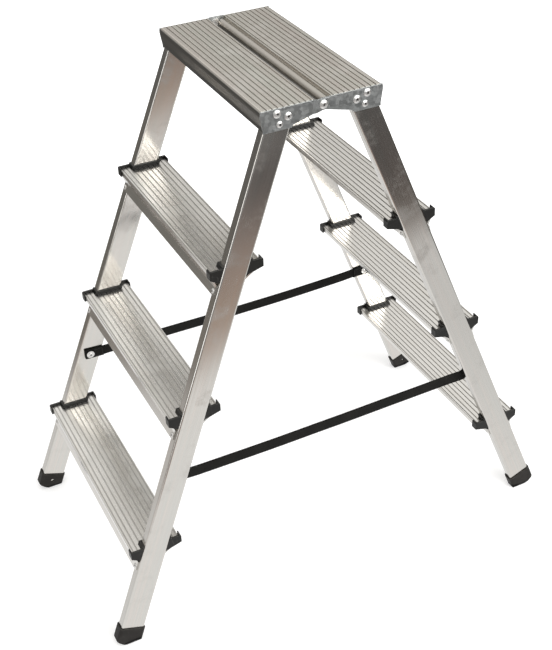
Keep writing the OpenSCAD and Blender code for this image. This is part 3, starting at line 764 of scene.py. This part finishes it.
# A row of stitches along a drawn line, each one a short bar of thread
def make_stitch_tree():
    wires, given, result = new_maker("stitch_row", ("Stitch pitch", "Stitch length", "Thread radius"))
    line = wires.node("GeometryNodeMeshToCurve", Mesh=given["Geometry"]).outputs[0]
    seats = wires.node("GeometryNodeResampleCurve", {"mode": "LENGTH"}, Curve=line,
                       Length=given["Stitch pitch"])
    run = wires.node("GeometryNodeInputTangent").outputs[0]
    turn = wires.node("FunctionNodeAlignRotationToVector", {"axis": "Z"}, Vector=run).outputs[0]
    bar = wires.node("GeometryNodeMeshCylinder", Vertices=8, Radius=given["Thread radius"],
                     Depth=given["Stitch length"])
    rows = wires.node("GeometryNodeInstanceOnPoints", Points=seats.outputs[0],
                      Instance=bar.outputs["Mesh"], Rotation=turn)
    close_tree(wires, rows.outputs[0], given, result)
    return wires.tree


# Box of stitches through a strap's turned-in end, beside its washer
def make_stitches(side, end, tree, thread):
    near, far = fold_x + stitch_end_in, strap_x - stitch_rivet_in
    lift = -2 * strap_t - thread_lift
    low, high = -stitch_half_w, stitch_half_w
    spots = [(near, low), (near, high), (far, high), (far, low)]
    places = [from_strap(end, (SIDES[side] * x, lift, strap_dip(end, x) + z)) for x, z in spots]
    data = bpy.data.meshes.new("stitch_line")
    data.from_pydata(places, [(0, 1), (1, 2), (2, 3), (3, 0)], [])
    values = {"Stitch pitch": stitch_pitch, "Stitch length": stitch_length, "Thread radius": thread_r,
              "Material": thread}
    stitches = grow(f"{side}_strap_stitches_{end}", link_mesh("stitch_line", data), tree, values)
    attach(stitches, side + "_frame")
    return stitches


# Broken pin ends on seats that carry a facing and a bore
def make_core_tree():
    wires, given, result = new_maker("rivet_core_row", ("Width share", "Height share"))
    facing = wires.node("GeometryNodeInputNamedAttribute", {"data_type": "FLOAT_VECTOR"}, Name="facing")
    bore = wires.node("GeometryNodeInputNamedAttribute", {"data_type": "FLOAT"}, Name="bore")
    turn = wires.node("FunctionNodeAlignRotationToVector", {"axis": "Z"}, Vector=facing.outputs[0])
    waist = wires.times(given["Width share"], core_waist_share)
    stub = wires.node("GeometryNodeMeshCone", Vertices=16, Depth=given["Height share"], Radius_Top=waist,
                      Radius_Bottom=given["Width share"])
    cores = wires.node("GeometryNodeInstanceOnPoints", Points=given["Geometry"],
                       Instance=stub.outputs["Mesh"], Rotation=turn.outputs[0], Scale=bore.outputs[0])
    close_tree(wires, cores.outputs[0], given, result)
    return wires.tree


# Seats of every blind rivet of one frame, as place, facing and bore radius
def rivet_seats(side):
    pair_drop = platform_top_t + pair_gap + plate_shank_r * bulb_share + pair_half * sin(lean)
    low_drop = plate_bend_drop - low_head_r
    bend_z = platform_h - plate_bend_drop
    plate_y = face_y(stile_x(bend_z) + half_run, bend_z) + seat_gap
    pin_y = plate_y + 2 * plate_t + plate_gap + seat_gap
    upper = Vector((stile_x(platform_h - pair_drop), 0, platform_h - pair_drop))
    step = pair_half * Vector((cos(lean), 0, sin(lean)))
    low = Vector((stile_x(platform_h - low_drop), 0, platform_h - low_drop))
    rivet_in = stile_t / 2 - stile_corner - tread_shank_r * bulb_share - tread_rivet_gap
    reach = stile_w / 2 + tread_wall + 2 * seat_gap
    outward = Vector((0, 1, 0))
    seats = []

    def add(end, place, facing, shank_r, head_h):
        place = place + facing * (head_h * hollow_floor_share + core_lift)
        seats.append((quarter(side, end, place), quarter(side, end, facing), shank_r * hollow_share))

    for end in ENDS:
        for spot in (upper + step, upper - step, low):
            add(end, spot + outward * (plate_y + plate_t + seat_gap), outward, plate_shank_r, plate_head_h)
        for level in LEVELS.values():
            z = platform_h - rise * level - tread_rivet_drop
            for way in (-1, 1):
                spot = on_stile(way * reach, -rivet_in, along_stile(z, way * reach))
                add(end, spot, stile_turn @ Vector((way, 0, 0)), tread_shank_r, tread_head_h)
        spot = on_stile(0, -washer_in - washer_t, along_stile(strap_h, 0))
        add(end, spot, stile_inward, strap_shank_r, strap_head_h)
        if side == "left":
            add(end, Vector((0, pin_y, hinge_z)), outward, plate_shank_r, pin_head_h)
    return seats


def make_cores(side, tree, steel):
    places, facings, bores = zip(*rivet_seats(side))
    data = bpy.data.meshes.new("core_seats")
    data.from_pydata(places, [], [])
    facing = data.attributes.new("facing", "FLOAT_VECTOR", "POINT")
    facing.data.foreach_set("vector", [number for way in facings for number in way])
    bore = data.attributes.new("bore", "FLOAT", "POINT")
    bore.data.foreach_set("value", bores)
    values = {"Width share": core_width_share, "Height share": core_height_share, "Material": steel}
    cores = grow(side + "_rivet_cores", link_mesh("core_seats", data), tree, values)
    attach(cores, side + "_frame")


# What the metal mirrors: a pale sheet on a darker floor, in metres across and ahead as the camera looks
def mirrored_floor(wires):
    turned = wires.parts(wires.place(turn=(0, 0, -photo_yaw)))
    across, ahead = turned["X"], turned["Y"]
    bare = wires.ramp(wires.remap(ahead, -1.6, 1.4), (
        (0.0, (0.32, 0.32, 0.32)), (0.16, (0.33, 0.27, 0.25)), (0.25, (0.48, 0.375, 0.305)),
        (0.70, (0.30, 0.275, 0.25)), (1.0, (0.13, 0.126, 0.118))))
    shifted = wires.plus(ahead, wires.remap(across, 1.72, 1.9, 0.0, 0.6))
    unlit = wires.times(wires.remap(across, 0.95, 1.35, 0.0, 0.8), wires.remap(shifted, -1.5, -1.38))
    bare = wires.mix(unlit, bare, (0.06, 0.06, 0.06))
    bare = wires.mix(wires.remap(across, -2.2, -1.6, 0.25, 0.0), bare, (0.44, 0.42, 0.385))
    nearer = wires.plus(ahead, wires.remap(across, -0.5, -0.15, 0.7, 0.0))
    farther = wires.minus(ahead, wires.remap(across, -0.9, -0.4, -0.06, 1.3))
    sheet = wires.times(wires.remap(nearer, -0.85, -0.76), wires.remap(farther, 0.34, 0.64, 1.0, 0.0))
    sheet = wires.times(sheet, wires.remap(across, -2.4, -0.4))
    sheet = wires.times(sheet, wires.remap(across, 1.3, 1.8, 1.0, 0.0))
    paper = wires.mix(wires.remap(across, 0.4, 0.9), (1.0, 1.0, 1.0), (0.8, 0.8, 0.8))
    return wires.mix(sheet, bare, paper)


# Floor: white to the camera, with the ladder's shadow
def make_floor():
    material = bpy.data.materials.new("studio_floor")
    wires = clear_wires(material)
    mirrored = wires.node("ShaderNodeEmission", Color=mirrored_floor(wires))
    matt = wires.node("ShaderNodeBsdfDiffuse", Color=(0.8, 0.8, 0.8))
    path = wires.node("ShaderNodeLightPath").outputs
    away = wires.node("ShaderNodeVectorMath", {"operation": "LENGTH"}, (wires.place(),))
    lift = wires.remap(away.outputs["Value"], 0.6, 1.8, 0.36, 0.9, smooth=True)
    glow = wires.node("ShaderNodeEmission", Color=(1.0, 1.0, 1.0),
                      Strength=wires.times(path["Is Camera Ray"], lift))
    lit = wires.node("ShaderNodeAddShader", values=(matt.outputs[0], glow.outputs[0]))
    seen = wires.math("MAXIMUM", path["Is Glossy Ray"], path["Is Transmission Ray"])
    choice = wires.node("ShaderNodeMixShader", values=(seen, lit.outputs[0], mirrored.outputs[0]))
    wires.node("ShaderNodeOutputMaterial", Surface=choice.outputs[0])
    mesh = bmesh.new()
    bmesh.ops.create_circle(mesh, cap_ends=True, segments=96, radius=floor_r)
    mesh.transform(Matrix.Translation((0, 0, -floor_drop)))
    link_bmesh("studio_floor", mesh, material)


# World: white to the camera, and a soft dome to everything else
def make_world():
    world = bpy.data.worlds.new("studio")
    bpy.context.scene.world = world
    wires = clear_wires(world)
    up = wires.parts(wires.node("ShaderNodeTexCoord").outputs["Generated"])["Z"]
    dome = wires.ramp(wires.remap(up, 0.0, 1.0), (
        (0.0, (0.13, 0.128, 0.124)), (0.16, (0.25, 0.246, 0.238)), (0.36, (0.44, 0.432, 0.416)),
        (0.5, (0.76, 0.75, 0.73)), (0.65, (1.0, 0.99, 0.97)), (0.8, (0.62, 0.615, 0.605)),
        (1.0, (0.44, 0.44, 0.44))))
    path = wires.node("ShaderNodeLightPath").outputs["Is Camera Ray"]
    shown = wires.mix(path, dome, (1 / dome_strength,) * 3)
    back = wires.node("ShaderNodeBackground", Color=shown, Strength=dome_strength)
    wires.node("ShaderNodeOutputWorld", Surface=back.outputs[0])


def make_lamp(name, place, aim, size, power):
    lamp = bpy.data.lights.new(name, "AREA")
    lamp.shape = "RECTANGLE"
    lamp.size, lamp.size_y = size
    lamp.energy = power
    holder = bpy.data.objects.new(name, lamp)
    holder.location = place
    holder.rotation_euler = (Vector(aim) - Vector(place)).to_track_quat("-Z", "Y").to_euler()
    holder.visible_camera = False
    bpy.context.scene.collection.objects.link(holder)


make_camera()
bpy.context.scene.view_settings.view_transform = "Standard"
make_floor()
make_world()
make_lamp("front_softbox", place=(1.0, -2.25, 1.85), aim=(0.1, 0.1, 0.55), size=(2.8, 1.7), power=66)
make_lamp("side_softbox", place=(-2.35, -1.5, 0.65), aim=(-0.2, -0.2, 0.5), size=(1.0, 1.4), power=9)
make_lamp("overhead_softbox", place=(-0.9, -0.6, 2.6), aim=(0.0, 0.0, 0.4), size=(1.8, 1.8), power=9)

dress_nodes()
webbing = make_webbing()
thread = make_thread()
stitch_tree = make_stitch_tree()
for end in ENDS:
    strap, cut_length = make_strap(end, webbing)
    stitches = [make_stitches(side, end, stitch_tree, thread) for side in SIDES]
core_steel = make_core_steel()
core_tree = make_core_tree()
for side in SIDES:
    make_cores(side, core_tree, core_steel)
